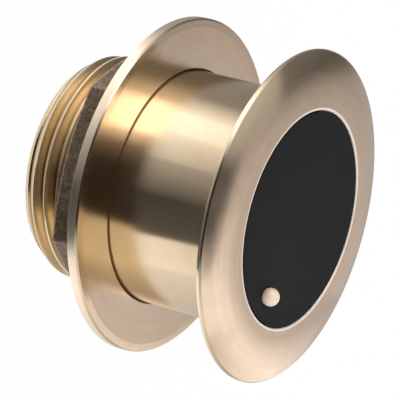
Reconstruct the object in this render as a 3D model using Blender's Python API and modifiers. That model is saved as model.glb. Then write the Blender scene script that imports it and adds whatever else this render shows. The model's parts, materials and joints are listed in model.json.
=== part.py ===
"""Bronze thru-hull sonar transducer with its hull nut and its inner parts.

Units are metres. The part stands on the end of its stem at the world origin, with its face up along +Z.
The element leans back from -Y, where the temperature stud is.
"""
import math

import bmesh
import bpy
from mathutils import Matrix, Vector

MM = 0.001

# Shared
CLEARANCE = 0.3 * MM
MERGE_DISTANCE = 0.001 * MM
CUT_MARGIN = 2.0 * MM
LARGE_SEGMENTS = 72
MEDIUM_SEGMENTS = 48
SMALL_SEGMENTS = 24
RING_SECTION_SIDES = 8
ARC_STEPS = 5
SHARP_ANGLE = math.radians(28)

# Threaded stem
THREAD_STEP = 0.5 * MM
THREAD_PITCH = 3.4 * MM
THREAD_DEPTH = 2.0 * MM
THREAD_ROOT_FLAT = 0.5 * MM
THREAD_FLANK_ANGLE = math.radians(30)
THREAD_PHASE_HEIGHT = -0.18 * MM
THREAD_RUN_OUT = 2.4 * MM
THREAD_SEGMENTS = 64
STEM_LENGTH = 22.2 * MM
STEM_WALL = 4.5 * MM
LEAD_IN_LENGTH = 3.9 * MM
LEAD_IN_DEPTH = 2.4 * MM

# Barrel
BARREL_RADIUS = 27.5 * MM
BARREL_LENGTH = 32.4 * MM
BARREL_WALL = 3.2 * MM
BARREL_EDGE = 0.3 * MM
BARREL_FILLET = 1.5 * MM
LEDGE_RISE = 4.3 * MM

# Face flange
FLANGE_WIDTH = 10.85 * MM
FLANGE_UNDERCUT_WIDTH = 1.55 * MM
FLANGE_UNDERCUT_HEIGHT = 0.76 * MM
RIM_LAND = 0.6 * MM
RIM_CHAMFER = 0.3 * MM
FACE_RISE = 2.79 * MM
FACE_BULGE = 0.45 * MM

# Acoustic window
WINDOW_LEDGE = 0.74 * MM
WINDOW_POCKET_DEPTH = 2.75 * MM
BEZEL_CHAMFER = 0.56 * MM
WINDOW_EDGE = 0.2 * MM

# Hull nut
NUT_FLANGE_MARGIN = 4.11 * MM
NUT_FLANGE_THICKNESS = 2.7 * MM
NUT_EDGE_ROUND_WIDTH = 0.5 * MM
NUT_EDGE_ROUND_HEIGHT = 1.35 * MM
NUT_HEX_HEIGHT = 9.1 * MM
NUT_WALL = 3.35 * MM
NUT_CHAMFER_ANGLE = math.radians(22)
NUT_COUNTERBORE_DEPTH = 3.3 * MM
NUT_CORNER_TURN = math.radians(-6.3)

# Temperature stud
STUD_INSET = 5.44 * MM
STUD_HEAD_RADIUS = 2.24 * MM
STUD_HEAD_SINK = 0.2 * MM
STUD_HEAD_STRAIGHT = 0.86 * MM
STUD_CROWN_STEPS = 6
STUD_SHANK_RADIUS = 1.9 * MM
STUD_SHANK_LENGTH = 3.2 * MM
STUD_WALL = 0.6 * MM
STUD_BORE_CROWN = 0.5 * MM
BEAD_RADIUS = 0.95 * MM
BEAD_LENGTH = 2.4 * MM
THERMISTOR_LEAD_RADIUS = 0.2 * MM
THERMISTOR_LEAD_SPACING = 0.9 * MM

# Tilted element
ELEMENT_TILT = math.radians(12)
ELEMENT_DROP = 8.75 * MM
MATCHING_SETBACK = 2.5 * MM
MATCHING_THICKNESS = 1.6 * MM
CUP_GAP = 4.5 * MM
CUP_WALL = 2.5 * MM
CUP_FLOOR = 3.0 * MM
CUP_HOLE_RADIUS = 1.6 * MM
TAB_WIDTH = 3.0 * MM
TAB_THICKNESS = 0.4 * MM
TAB_OVERHANG = 1.2 * MM
ELECTRODE_LEAD_RADIUS = 0.35 * MM
LEAD_WALL_GAP = 1.5 * MM

# Cradle
SPIGOT_LENGTH = 2.0 * MM
CRADLE_HOLE_RADIUS = 3.0 * MM
CRADLE_SHARE = 0.3426
NOTCH_WIDTH = 5.0 * MM
NOTCH_DEPTH = 2.7 * MM

# Circuit board and its fixings
BOARD_THICKNESS = 1.6 * MM
SCREW_CIRCLE_INSET = 6.2 * MM
SCREW_ANGLES = (math.radians(30), math.radians(150), math.radians(270))
SCREW_SHANK_RADIUS = 1.2 * MM
SCREW_HEAD_RADIUS = 2.2 * MM
SCREW_HEAD_HEIGHT = 1.5 * MM
SCREW_GRIP = 5.0 * MM
SCREW_SOCKET_RADIUS = 1.0 * MM
SCREW_SOCKET_DEPTH = 0.8 * MM

# Parts on the board: places and plan sizes are shares of the board's radius
CORE_PLACE = (-0.22, -0.15)
CORE_SHARE = 0.345
CORE_POST_SHARE = 0.15
CORE_HEADROOM = 1.1 * MM
CORE_FLANGE = 1.2 * MM
CAPACITOR_PLACE = (0.47, -0.05)
CAPACITOR_SHARES = (0.445, 0.25)
CAPACITOR_HEADROOM = 2.2 * MM
CAPACITOR_ROUND = 0.5 * MM
RESISTOR_PLACE = (0.42, -0.37)
RESISTOR_SHARE = 0.065
RESISTOR_LENGTH_SHARE = 0.345
PIN_RADIUS = 0.6 * MM
PIN_HEADROOM = 2.7 * MM
PIN_SPACING_SHARE = 0.15
PIN_ROW_SHARE = 0.5
PIN_COUNT = 3

# Bulkhead
BULKHEAD_HEIGHT = 6.3 * MM
BULKHEAD_THICKNESS = 5.0 * MM
SEAL_SECTION_RADIUS = 0.75 * MM
CLIP_THICKNESS = 1.1 * MM
CLIP_GROOVE_DEPTH = 1.3 * MM
CLIP_WIDTH = 3.0 * MM
CLIP_MOUTH = 8.0 * MM

# Cable gland
GLAND_SHANK_RADIUS = 6.2 * MM
GLAND_BORE_RADIUS = 4.6 * MM
GLAND_FLANGE_RADIUS = 8.5 * MM
GLAND_FLANGE_THICKNESS = 2.0 * MM
GLAND_INNER_LIP_RADIUS = 3.5 * MM
GLAND_INNER_LIP = 1.2 * MM
GLAND_CABLE_HOLE_RADIUS = 3.2 * MM
GLAND_NUT_ACROSS_FLATS = 18.0 * MM
GLAND_NUT_HEIGHT = 5.0 * MM
GLAND_NUT_LIP = 1.1 * MM
GLAND_NUT_HOLE_RADIUS = 4.0 * MM

# Radii worked out from the barrel, so that all that fits in it or on it keeps its walls
THREAD_RADIUS = BARREL_RADIUS - THREAD_STEP
STEM_BORE_RADIUS = THREAD_RADIUS - THREAD_DEPTH - STEM_WALL
FLANGE_RADIUS = BARREL_RADIUS + FLANGE_WIDTH
BARREL_BORE_RADIUS = BARREL_RADIUS - BARREL_WALL
WINDOW_POCKET_RADIUS = BARREL_BORE_RADIUS + WINDOW_LEDGE
STUD_PLACE_RADIUS = WINDOW_POCKET_RADIUS - STUD_INSET
NUT_APOTHEM = THREAD_RADIUS + CLEARANCE + NUT_WALL
NUT_CORNER_RADIUS = NUT_APOTHEM / math.cos(math.pi / 6)
NUT_FLANGE_RADIUS = NUT_CORNER_RADIUS + NUT_FLANGE_MARGIN
CUP_OUTER_RADIUS = BARREL_BORE_RADIUS - CUP_GAP
CUP_INNER_RADIUS = CUP_OUTER_RADIUS - CUP_WALL
PIEZO_RADIUS = CUP_INNER_RADIUS - CLEARANCE
MATCHING_RADIUS = PIEZO_RADIUS - MATCHING_SETBACK
CRADLE_RADIUS = BARREL_BORE_RADIUS - CLEARANCE
SPIGOT_RADIUS = STEM_BORE_RADIUS - CLEARANCE
NOTCH_FLOOR_RADIUS = SPIGOT_RADIUS - NOTCH_DEPTH
SCREW_CIRCLE_RADIUS = SPIGOT_RADIUS - SCREW_CIRCLE_INSET

# Heights worked out from the sizes, from the end of the stem up
SHOULDER_Z = STEM_LENGTH
LEDGE_Z = SHOULDER_Z + LEDGE_RISE
SEAT_Z = SHOULDER_Z + BARREL_LENGTH
RIM_BOTTOM_Z = SEAT_Z + FLANGE_UNDERCUT_HEIGHT
RIM_TOP_Z = RIM_BOTTOM_Z + RIM_LAND
FACE_Z = RIM_TOP_Z + FACE_RISE
POCKET_Z = FACE_Z - WINDOW_POCKET_DEPTH
NUT_FRONT_Z = SHOULDER_Z - CLEARANCE + NUT_COUNTERBORE_DEPTH
STUD_UNDER_HEAD_Z = FACE_Z - STUD_HEAD_SINK
BULKHEAD_TOP_Z = BULKHEAD_HEIGHT + BULKHEAD_THICKNESS
GLAND_TOP_Z = BULKHEAD_TOP_Z + CLEARANCE + GLAND_FLANGE_THICKNESS

# The element's own frame: its origin is on the slanted rear face of the window, +Z along its axis.
# The cradle takes its share of the depth down to the ledge, and the ceramic takes what its layers leave.
ELEMENT_Z = FACE_Z - ELEMENT_DROP
CRADLE_PLANE = -(1 - CRADLE_SHARE) * (ELEMENT_Z - LEDGE_Z) / math.cos(ELEMENT_TILT)
CUP_REAR = CRADLE_PLANE + CLEARANCE
PIEZO_FRONT = -2 * CLEARANCE - MATCHING_THICKNESS
PIEZO_REAR = CUP_REAR + CUP_FLOOR + CLEARANCE
ELEMENT_SHIFT = -CUP_REAR / 2 * math.sin(ELEMENT_TILT)
ELEMENT_FRAME = Matrix.Translation((0.0, ELEMENT_SHIFT, ELEMENT_Z)) @ Matrix.Rotation(-ELEMENT_TILT, 4, "X")

# Cradle and board
CRADLE_BOTTOM_Z = LEDGE_Z + CLEARANCE
SPIGOT_Z = CRADLE_BOTTOM_Z - CLEARANCE - SPIGOT_LENGTH
BOARD_TOP_Z = SPIGOT_Z - CLEARANCE
BOARD_BOTTOM_Z = BOARD_TOP_Z - BOARD_THICKNESS
UNDER_BOARD_Z = BOARD_BOTTOM_Z - CLEARANCE
LEAD_ROW_RADIUS = (NOTCH_FLOOR_RADIUS + SPIGOT_RADIUS) / 2
LEAD_END_Z = BOARD_TOP_Z + CLEARANCE

# Finishes: base colour, metallic, roughness
FINISHES = {
    "turned_bronze": ((0.62, 0.46, 0.27), 1.0, 0.28),
    "black_urethane": ((0.022, 0.022, 0.023), 0.0, 0.55),
    "thermistor_glass": ((0.10, 0.16, 0.12), 0.0, 0.2),
    "tinned_copper": ((0.72, 0.70, 0.67), 1.0, 0.3),
    "filled_epoxy": ((0.30, 0.31, 0.22), 0.0, 0.5),
    "piezo_ceramic": ((0.55, 0.52, 0.44), 0.0, 0.45),
    "cork_rubber": ((0.22, 0.13, 0.07), 0.0, 0.85),
    "white_polymer": ((0.72, 0.71, 0.68), 0.0, 0.5),
    "board_green": ((0.03, 0.16, 0.07), 0.0, 0.4),
    "plated_steel": ((0.55, 0.55, 0.56), 1.0, 0.35),
    "ferrite": ((0.05, 0.05, 0.055), 0.0, 0.6),
    "enamelled_copper": ((0.60, 0.22, 0.09), 1.0, 0.35),
    "capacitor_red": ((0.38, 0.05, 0.03), 0.0, 0.4),
    "resistor_tan": ((0.55, 0.40, 0.24), 0.0, 0.5),
    "black_polymer": ((0.02, 0.02, 0.021), 0.0, 0.5),
    "black_rubber": ((0.015, 0.015, 0.015), 0.0, 0.8),
}


def clear_scene():
    for old in list(bpy.data.objects):
        bpy.data.objects.remove(old, do_unlink=True)


def new_collection(name):
    collection = bpy.data.collections.new(name)
    bpy.context.scene.collection.children.link(collection)
    return collection


def material(name):
    found = bpy.data.materials.get(name)
    if found:
        return found
    colour, metallic, roughness = FINISHES[name]
    made = bpy.data.materials.new(name)
    made.use_nodes = True
    shader = made.node_tree.nodes["Principled BSDF"]
    shader.inputs["Base Color"].default_value = (*colour, 1.0)
    shader.inputs["Metallic"].default_value = metallic
    shader.inputs["Roughness"].default_value = roughness
    return made


def new_object(name, mesh, finish, place=(0.0, 0.0, 0.0), collection=None):
    made = bpy.data.objects.new(name, mesh)
    (collection or PARTS).objects.link(made)
    made.location = place
    if finish:
        mesh.materials.append(material(finish))
    return made


def as_cutter(made):
    made.hide_render = True
    made.display_type = "WIRE"
    return made


def spin(made, segments, rise=0.0, turns=1):
    screw = made.modifiers.new("turn", "SCREW")
    screw.axis = "Z"
    screw.angle = math.tau
    screw.iterations = turns
    screw.screw_offset = rise
    screw.steps = segments
    screw.render_steps = segments
    screw.use_merge_vertices = rise == 0.0
    screw.merge_threshold = MERGE_DISTANCE
    screw.use_smooth_shade = True
    return made


def profile_mesh(name, points, closed):
    mesh = bpy.data.meshes.new(name)
    edges = [(i, i + 1) for i in range(len(points) - 1)]
    if closed:
        edges.append((len(points) - 1, 0))
    mesh.from_pydata([(radius, 0.0, height) for radius, height in points], edges, [])
    return mesh


def turned(name, points, finish, segments=MEDIUM_SEGMENTS, closed=False, **where):
    """A turned piece from (radius, height) points, down the outer side first."""
    made = new_object(name, profile_mesh(name, points, closed), finish, **where)
    return spin(made, segments)


def from_bmesh(name, shape, finish, **where):
    mesh = bpy.data.meshes.new(name)
    shape.to_mesh(mesh)
    shape.free()
    return new_object(name, mesh, finish, **where)


def cylinder(
    name, radius, bottom, top, finish, segments=SMALL_SEGMENTS, centre=(0.0, 0.0), turn=0.0, **where
):
    """A round or many-sided bar with its first corner on +X, turned from there by the given angle."""
    shape = bmesh.new()
    bmesh.ops.create_cone(
        shape,
        cap_ends=True,
        segments=segments,
        radius1=radius,
        radius2=radius,
        depth=top - bottom,
        matrix=Matrix.Rotation(turn - math.pi / 2, 4, "Z"),
    )
    bmesh.ops.translate(shape, vec=(0.0, 0.0, (bottom + top) / 2), verts=shape.verts)
    return from_bmesh(name, shape, finish, place=(*centre, 0.0), **where)


def box(name, low, high, finish, **where):
    shape = bmesh.new()
    bmesh.ops.create_cube(shape, size=1.0)
    low, high = Vector(low), Vector(high)
    size = high - low
    bmesh.ops.scale(shape, vec=size, verts=shape.verts)
    bmesh.ops.translate(shape, vec=(low + high) / 2, verts=shape.verts)
    return from_bmesh(name, shape, finish, **where)


def cut(target, cutter, operation="DIFFERENCE"):
    boolean = target.modifiers.new(cutter.name, "BOOLEAN")
    boolean.operation = operation
    boolean.solver = "EXACT"
    boolean.object = cutter
    return target


def bevel(made, width, segments=2):
    edges = made.modifiers.new("edges", "BEVEL")
    edges.width = width
    edges.segments = segments
    edges.limit_method = "ANGLE"
    return made


def wire(name, points, radius, finish):
    """A round wire along its points, with filled ends."""
    curve = bpy.data.curves.new(name, "CURVE")
    curve.dimensions = "3D"
    curve.bevel_depth = radius
    curve.bevel_resolution = 2
    curve.use_fill_caps = True
    line = curve.splines.new("POLY")
    line.points.add(len(points) - 1)
    for slot, point in zip(line.points, points):
        slot.co = (*point, 1.0)
    return new_object(name, curve, finish)


def smooth(made):
    """Smooth shading on the made mesh, with its real edges kept sharp."""
    for face in made.data.polygons:
        face.use_smooth = True
    if made.data.polygons:
        made.data.set_sharp_from_angle(angle=SHARP_ANGLE)


def arc(start, end, bulge, steps=ARC_STEPS):
    """Points after start up to end, on a circular arc that bulges to the left of the way."""
    start, end = Vector(start), Vector(end)
    chord = end - start
    half = chord.length / 2
    side = Vector((-chord.y, chord.x)).normalized()
    radius = (half * half + bulge * bulge) / (2 * bulge)
    centre = (start + end) / 2 - side * (radius - bulge)
    first = start - centre
    sweep = -2 * math.asin(half / radius)
    points = []
    for i in range(1, steps + 1):
        angle = sweep * i / steps
        turned_arm = Vector(
            (
                first.x * math.cos(angle) - first.y * math.sin(angle),
                first.x * math.sin(angle) + first.y * math.cos(angle),
            )
        )
        points.append(tuple(centre + turned_arm))
    return points


def quarter(start, end, centre, steps=ARC_STEPS):
    """Points after start up to end, on a quarter of an ellipse about its centre."""
    reach = Vector(start) - Vector(centre)
    drop = Vector(end) - Vector(centre)
    points = []
    for i in range(1, steps + 1):
        angle = math.pi / 2 * i / steps
        points.append(tuple(Vector(centre) + reach * math.cos(angle) + drop * math.sin(angle)))
    return points


def ring_section(inner, outer, bottom, top):
    return [(outer, top), (outer, bottom), (inner, bottom), (inner, top)]


def in_element(x, y, z):
    """A world point from a point in the element's own frame."""
    return tuple(ELEMENT_FRAME @ Vector((x, y, z)))


def slanted_block(name, depth, upward):
    """A cutter that takes away all that lies above, or below, a plane of the element's frame."""
    reach = 2 * BARREL_RADIUS
    low = (-reach, -reach, depth if upward else depth - reach)
    high = (reach, reach, depth + reach if upward else depth)
    made = as_cutter(box(name, low, high, None, collection=CUTTERS))
    made.matrix_world = ELEMENT_FRAME
    return made


def make_housing():
    root_radius = THREAD_RADIUS - THREAD_DEPTH
    fillet_start = (BARREL_RADIUS + BARREL_FILLET, SEAT_Z)
    fillet_end = (BARREL_RADIUS, SEAT_Z - BARREL_FILLET)
    fillet_centre = (fillet_start[0], fillet_end[1])
    groove_low = BULKHEAD_HEIGHT - 2 * CLEARANCE - CLIP_THICKNESS
    face_start = (WINDOW_POCKET_RADIUS + BEZEL_CHAMFER, FACE_Z)
    face_end = (FLANGE_RADIUS - RIM_CHAMFER, RIM_TOP_Z + RIM_CHAMFER)
    points = [face_start]
    points += arc(face_start, face_end, FACE_BULGE)
    points += [
        (FLANGE_RADIUS, RIM_TOP_Z),
        (FLANGE_RADIUS, RIM_BOTTOM_Z),
        (FLANGE_RADIUS - FLANGE_UNDERCUT_WIDTH, SEAT_Z),
        fillet_start,
    ]
    points += quarter(fillet_start, fillet_end, fillet_centre)
    points += [
        (BARREL_RADIUS, SHOULDER_Z + BARREL_EDGE),
        (BARREL_RADIUS - BARREL_EDGE, SHOULDER_Z),
        (THREAD_RADIUS, SHOULDER_Z),
        (THREAD_RADIUS, LEAD_IN_LENGTH),
        (THREAD_RADIUS - LEAD_IN_DEPTH, 0.0),
        (STEM_BORE_RADIUS, 0.0),
        (STEM_BORE_RADIUS, groove_low),
        (STEM_BORE_RADIUS + CLIP_GROOVE_DEPTH, groove_low),
        (STEM_BORE_RADIUS + CLIP_GROOVE_DEPTH, BULKHEAD_HEIGHT),
        (STEM_BORE_RADIUS, BULKHEAD_HEIGHT),
        (STEM_BORE_RADIUS, LEDGE_Z),
        (BARREL_BORE_RADIUS, LEDGE_Z),
        (BARREL_BORE_RADIUS, POCKET_Z),
        (WINDOW_POCKET_RADIUS, POCKET_Z),
        (WINDOW_POCKET_RADIUS, FACE_Z - BEZEL_CHAMFER),
    ]
    housing = turned("housing", points, "turned_bronze", segments=LARGE_SEGMENTS, closed=True)

    half_root = THREAD_ROOT_FLAT / 2
    outer_radius = THREAD_RADIUS + CUT_MARGIN / 2
    half_mouth = half_root + (outer_radius - root_radius) * math.tan(THREAD_FLANK_ANGLE)
    first_z = THREAD_PHASE_HEIGHT - THREAD_PITCH
    turns = int((SHOULDER_Z - THREAD_RUN_OUT - half_mouth - first_z) / THREAD_PITCH)
    groove = [
        (outer_radius, first_z + half_mouth),
        (outer_radius, first_z - half_mouth),
        (root_radius, first_z - half_root),
        (root_radius, first_z + half_root),
    ]
    cutter = new_object("thread_groove", helix_mesh(groove, turns), None, collection=CUTTERS)
    cut(housing, as_cutter(cutter))
    return housing


def helix_mesh(section, turns):
    """A closed section swept up a right-hand helix, with its two ends filled."""
    guide = new_object("helix_guide", profile_mesh("helix_guide", section, True), None, collection=CUTTERS)
    spin(guide, THREAD_SEGMENTS, rise=THREAD_PITCH, turns=turns)
    graph = bpy.context.evaluated_depsgraph_get()
    swept = bpy.data.meshes.new_from_object(guide.evaluated_get(graph))
    bpy.data.objects.remove(guide, do_unlink=True)
    shape = bmesh.new()
    shape.from_mesh(swept)
    bmesh.ops.holes_fill(shape, edges=shape.edges, sides=len(section))
    bmesh.ops.recalc_face_normals(shape, faces=shape.faces)
    shape.to_mesh(swept)
    shape.free()
    return swept


def make_hull_nut():
    top = 0.0
    flange_rear = -NUT_FLANGE_THICKNESS
    rear = flange_rear - NUT_HEX_HEIGHT
    bore = THREAD_RADIUS + CLEARANCE
    counterbore = BARREL_RADIUS + CLEARANCE
    hub_radius = NUT_CORNER_RADIUS + CUT_MARGIN
    chamfer_radius = NUT_APOTHEM - CLEARANCE
    chamfer_rise = (hub_radius - chamfer_radius) * math.tan(NUT_CHAMFER_ANGLE)
    edge_centre = (NUT_FLANGE_RADIUS - NUT_EDGE_ROUND_WIDTH, top - NUT_EDGE_ROUND_HEIGHT)
    points = [(NUT_FLANGE_RADIUS - NUT_EDGE_ROUND_WIDTH, top)]
    points += quarter(points[0], (NUT_FLANGE_RADIUS, top - NUT_EDGE_ROUND_HEIGHT), edge_centre)
    points += [
        (NUT_FLANGE_RADIUS, flange_rear),
        (hub_radius, flange_rear),
        (hub_radius, rear + chamfer_rise),
        (chamfer_radius, rear),
        (bore + CLEARANCE, rear),
        (bore, rear + CLEARANCE),
        (bore, top - NUT_COUNTERBORE_DEPTH),
        (counterbore, top - NUT_COUNTERBORE_DEPTH),
        (counterbore, top),
    ]
    place = (0.0, 0.0, NUT_FRONT_Z)
    nut = turned("hull_nut", points, "turned_bronze", segments=LARGE_SEGMENTS, closed=True, place=place)

    around = cylinder(
        "nut_flats",
        NUT_FLANGE_RADIUS + CUT_MARGIN,
        rear - CUT_MARGIN,
        flange_rear,
        None,
        segments=LARGE_SEGMENTS,
        collection=CUTTERS,
    )
    hexagon = cylinder(
        "nut_hexagon",
        NUT_CORNER_RADIUS,
        rear - 2 * CUT_MARGIN,
        top,
        None,
        segments=6,
        turn=NUT_CORNER_TURN,
        collection=CUTTERS,
    )
    for cutter in (around, hexagon):
        cutter.location.z = NUT_FRONT_Z
        as_cutter(cutter)
    cut(around, hexagon)
    cut(nut, around)
    return nut


def make_window():
    radius = WINDOW_POCKET_RADIUS - CLEARANCE
    plug_radius = BARREL_BORE_RADIUS - CLEARANCE
    flange_rear = POCKET_Z + CLEARANCE
    deep = FACE_Z - ELEMENT_DROP - BARREL_RADIUS
    points = [
        (0.0, FACE_Z),
        (radius - WINDOW_EDGE, FACE_Z),
        (radius, FACE_Z - WINDOW_EDGE),
        (radius, flange_rear),
        (plug_radius, flange_rear),
        (plug_radius, deep),
        (0.0, deep),
    ]
    window = turned("acoustic_window", points, "black_urethane", segments=LARGE_SEGMENTS)
    cut(window, slanted_block("window_slant", 0.0, False))
    hole = turned(
        "stud_hole",
        [
            (0.0, FACE_Z + CUT_MARGIN),
            (STUD_HEAD_RADIUS + CLEARANCE, FACE_Z + CUT_MARGIN),
            (STUD_HEAD_RADIUS + CLEARANCE, STUD_UNDER_HEAD_Z - CLEARANCE),
            (STUD_SHANK_RADIUS + CLEARANCE, STUD_UNDER_HEAD_Z - CLEARANCE),
            (STUD_SHANK_RADIUS + CLEARANCE, deep - CUT_MARGIN),
            (0.0, deep - CUT_MARGIN),
        ],
        None,
        segments=SMALL_SEGMENTS,
        place=(0.0, -STUD_PLACE_RADIUS, 0.0),
        collection=CUTTERS,
    )
    cut(window, as_cutter(hole))
    return window


def make_stud():
    shoulder = STUD_UNDER_HEAD_Z + STUD_HEAD_SINK + STUD_HEAD_STRAIGHT
    crown = shoulder + STUD_HEAD_RADIUS
    bottom = STUD_UNDER_HEAD_Z - STUD_SHANK_LENGTH
    bore = STUD_SHANK_RADIUS - STUD_WALL
    bore_top = shoulder - STUD_BORE_CROWN
    points = [(0.0, crown)]
    points += quarter((0.0, crown), (STUD_HEAD_RADIUS, shoulder), (0.0, shoulder), steps=STUD_CROWN_STEPS)
    points += [
        (STUD_HEAD_RADIUS, STUD_UNDER_HEAD_Z),
        (STUD_SHANK_RADIUS, STUD_UNDER_HEAD_Z),
        (STUD_SHANK_RADIUS, bottom),
        (bore, bottom),
        (bore, bore_top),
        (0.0, bore_top),
    ]
    place = (0.0, -STUD_PLACE_RADIUS, 0.0)
    turned("temperature_stud", points, "turned_bronze", segments=SMALL_SEGMENTS, place=place)

    bead_top = bore_top - CLEARANCE
    bead_bottom = bead_top - BEAD_LENGTH
    bead = [(0.0, bead_top)]
    bead += quarter((0.0, bead_top), (BEAD_RADIUS, bead_top - BEAD_RADIUS), (0.0, bead_top - BEAD_RADIUS))
    bead += [(BEAD_RADIUS, bead_bottom), (0.0, bead_bottom)]
    turned("thermistor_bead", bead, "thermistor_glass", segments=SMALL_SEGMENTS, place=place)

    for number, side in enumerate((-1, 1), start=1):
        x = side * THERMISTOR_LEAD_SPACING / 2
        points = [(x, -STUD_PLACE_RADIUS, bead_bottom - CLEARANCE)]
        clear_z = min(bottom, slant_z(-STUD_PLACE_RADIUS)) - CLEARANCE
        points += lead_down(x, -1, -STUD_PLACE_RADIUS, clear_z)
        wire(f"thermistor_lead_{number}", points, THERMISTOR_LEAD_RADIUS, "tinned_copper")


def slant_z(y):
    """The height of the window's slanted rear face."""
    return ELEMENT_Z - (y - ELEMENT_SHIFT) * math.tan(ELEMENT_TILT)


def lead_down(x, side, start_y, start_z):
    """A lead's way from (start_y, start_z) out beside the cup, down, and in through the cradle's notch."""
    wall_y = side * (BARREL_BORE_RADIUS - LEAD_WALL_GAP)
    row_y = side * LEAD_ROW_RADIUS
    bend = abs(wall_y - row_y)
    elbow_z = CRADLE_BOTTOM_Z + CLEARANCE
    return [
        (x, start_y, start_z),
        (x, wall_y, start_z - abs(wall_y - start_y) / 2),
        (x, wall_y, elbow_z + bend + CLEARANCE),
        (x, row_y, elbow_z),
        (x, row_y, LEAD_END_Z),
    ]


def make_element():
    frame = bpy.data.objects.new("element_frame", None)
    frame.empty_display_size = PIEZO_RADIUS
    frame.matrix_world = ELEMENT_FRAME
    PARTS.objects.link(frame)

    matching_rear = -CLEARANCE - MATCHING_THICKNESS
    matching = cylinder(
        "matching_layer", MATCHING_RADIUS, matching_rear, -CLEARANCE, "filled_epoxy", segments=MEDIUM_SEGMENTS
    )
    piezo = cylinder(
        "piezo_disc", PIEZO_RADIUS, PIEZO_REAR, PIEZO_FRONT, "piezo_ceramic", segments=MEDIUM_SEGMENTS
    )
    cup = turned(
        "isolation_cup",
        [
            (CUP_OUTER_RADIUS, PIEZO_FRONT),
            (CUP_OUTER_RADIUS, CUP_REAR),
            (CUP_HOLE_RADIUS, CUP_REAR),
            (CUP_HOLE_RADIUS, CUP_REAR + CUP_FLOOR),
            (CUP_INNER_RADIUS, CUP_REAR + CUP_FLOOR),
            (CUP_INNER_RADIUS, PIEZO_FRONT),
        ],
        "cork_rubber",
        closed=True,
    )
    tab_bottom = PIEZO_FRONT + CLEARANCE
    tab = box(
        "front_electrode_tab",
        (-TAB_WIDTH / 2, MATCHING_RADIUS + CLEARANCE, tab_bottom),
        (TAB_WIDTH / 2, CUP_OUTER_RADIUS + TAB_OVERHANG, tab_bottom + TAB_THICKNESS),
        "tinned_copper",
    )
    for piece in (matching, piezo, cup, tab):
        piece.parent = frame

    lead_start_y = CUP_OUTER_RADIUS + TAB_OVERHANG / 2 + ELECTRODE_LEAD_RADIUS
    tab_end = in_element(0.0, lead_start_y, tab_bottom - CLEARANCE)
    points = lead_down(0.0, 1, tab_end[1], tab_end[2])
    wire("front_electrode_lead", points, ELECTRODE_LEAD_RADIUS, "enamelled_copper")

    start = in_element(0.0, 0.0, PIEZO_REAR - CLEARANCE)
    below = in_element(0.0, 0.0, CRADLE_PLANE)
    points = [start, below, (0.0, below[1], LEAD_END_Z)]
    wire("rear_electrode_lead", points, ELECTRODE_LEAD_RADIUS, "enamelled_copper")
    return below[1]


def screw_places():
    radius = SCREW_CIRCLE_RADIUS
    return [(radius * math.cos(angle), radius * math.sin(angle)) for angle in SCREW_ANGLES]


def make_cradle(lead_y):
    top = FACE_Z
    points = [
        (0.0, top),
        (CRADLE_RADIUS, top),
        (CRADLE_RADIUS, CRADLE_BOTTOM_Z),
        (SPIGOT_RADIUS, CRADLE_BOTTOM_Z),
        (SPIGOT_RADIUS, SPIGOT_Z),
        (0.0, SPIGOT_Z),
    ]
    cradle = turned("tilt_cradle", points, "white_polymer")
    cut(cradle, slanted_block("cradle_slant", CRADLE_PLANE, True))
    bottom = SPIGOT_Z - CUT_MARGIN
    hole = cylinder(
        "cradle_lead_hole", CRADLE_HOLE_RADIUS, bottom, top, None, centre=(0.0, lead_y), collection=CUTTERS
    )
    cut(cradle, as_cutter(hole))
    for number, side in enumerate((-1, 1), start=1):
        near, far = sorted((side * NOTCH_FLOOR_RADIUS, side * (BARREL_RADIUS + CUT_MARGIN)))
        notch = box(
            f"cradle_notch_{number}",
            (-NOTCH_WIDTH / 2, near, bottom),
            (NOTCH_WIDTH / 2, far, top),
            None,
            collection=CUTTERS,
        )
        cut(cradle, as_cutter(notch))
    hole_radius = SCREW_SHANK_RADIUS + CLEARANCE
    hole_top = SPIGOT_Z + SCREW_GRIP + CLEARANCE
    for number, place in enumerate(screw_places(), start=1):
        hole = cylinder(
            f"cradle_screw_hole_{number}",
            hole_radius,
            bottom,
            hole_top,
            None,
            centre=place,
            collection=CUTTERS,
        )
        cut(cradle, as_cutter(hole))
    return cradle


def make_board():
    board = cylinder(
        "circuit_board", SPIGOT_RADIUS, BOARD_BOTTOM_Z, BOARD_TOP_Z, "board_green", segments=MEDIUM_SEGMENTS
    )
    head_top = UNDER_BOARD_Z
    head_bottom = head_top - SCREW_HEAD_HEIGHT
    profile = [
        (0.0, SPIGOT_Z + SCREW_GRIP),
        (SCREW_SHANK_RADIUS, SPIGOT_Z + SCREW_GRIP),
        (SCREW_SHANK_RADIUS, head_top),
        (SCREW_HEAD_RADIUS, head_top),
        (SCREW_HEAD_RADIUS, head_bottom),
        (SCREW_SOCKET_RADIUS, head_bottom),
        (SCREW_SOCKET_RADIUS, head_bottom + SCREW_SOCKET_DEPTH),
        (0.0, head_bottom + SCREW_SOCKET_DEPTH),
    ]
    for number, place in enumerate(screw_places(), start=1):
        hole = cylinder(
            f"board_screw_hole_{number}",
            SCREW_SHANK_RADIUS + CLEARANCE,
            BOARD_BOTTOM_Z - CUT_MARGIN,
            BOARD_TOP_Z + CUT_MARGIN,
            None,
            centre=place,
            collection=CUTTERS,
        )
        cut(board, as_cutter(hole))
        turned(
            f"board_screw_{number}", profile, "plated_steel", segments=SMALL_SEGMENTS, place=(*place, 0.0)
        )
    return board


def on_board(place, height):
    """A world point from a place in shares of the board's radius."""
    return (place[0] * SPIGOT_RADIUS, place[1] * SPIGOT_RADIUS, height)


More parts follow.
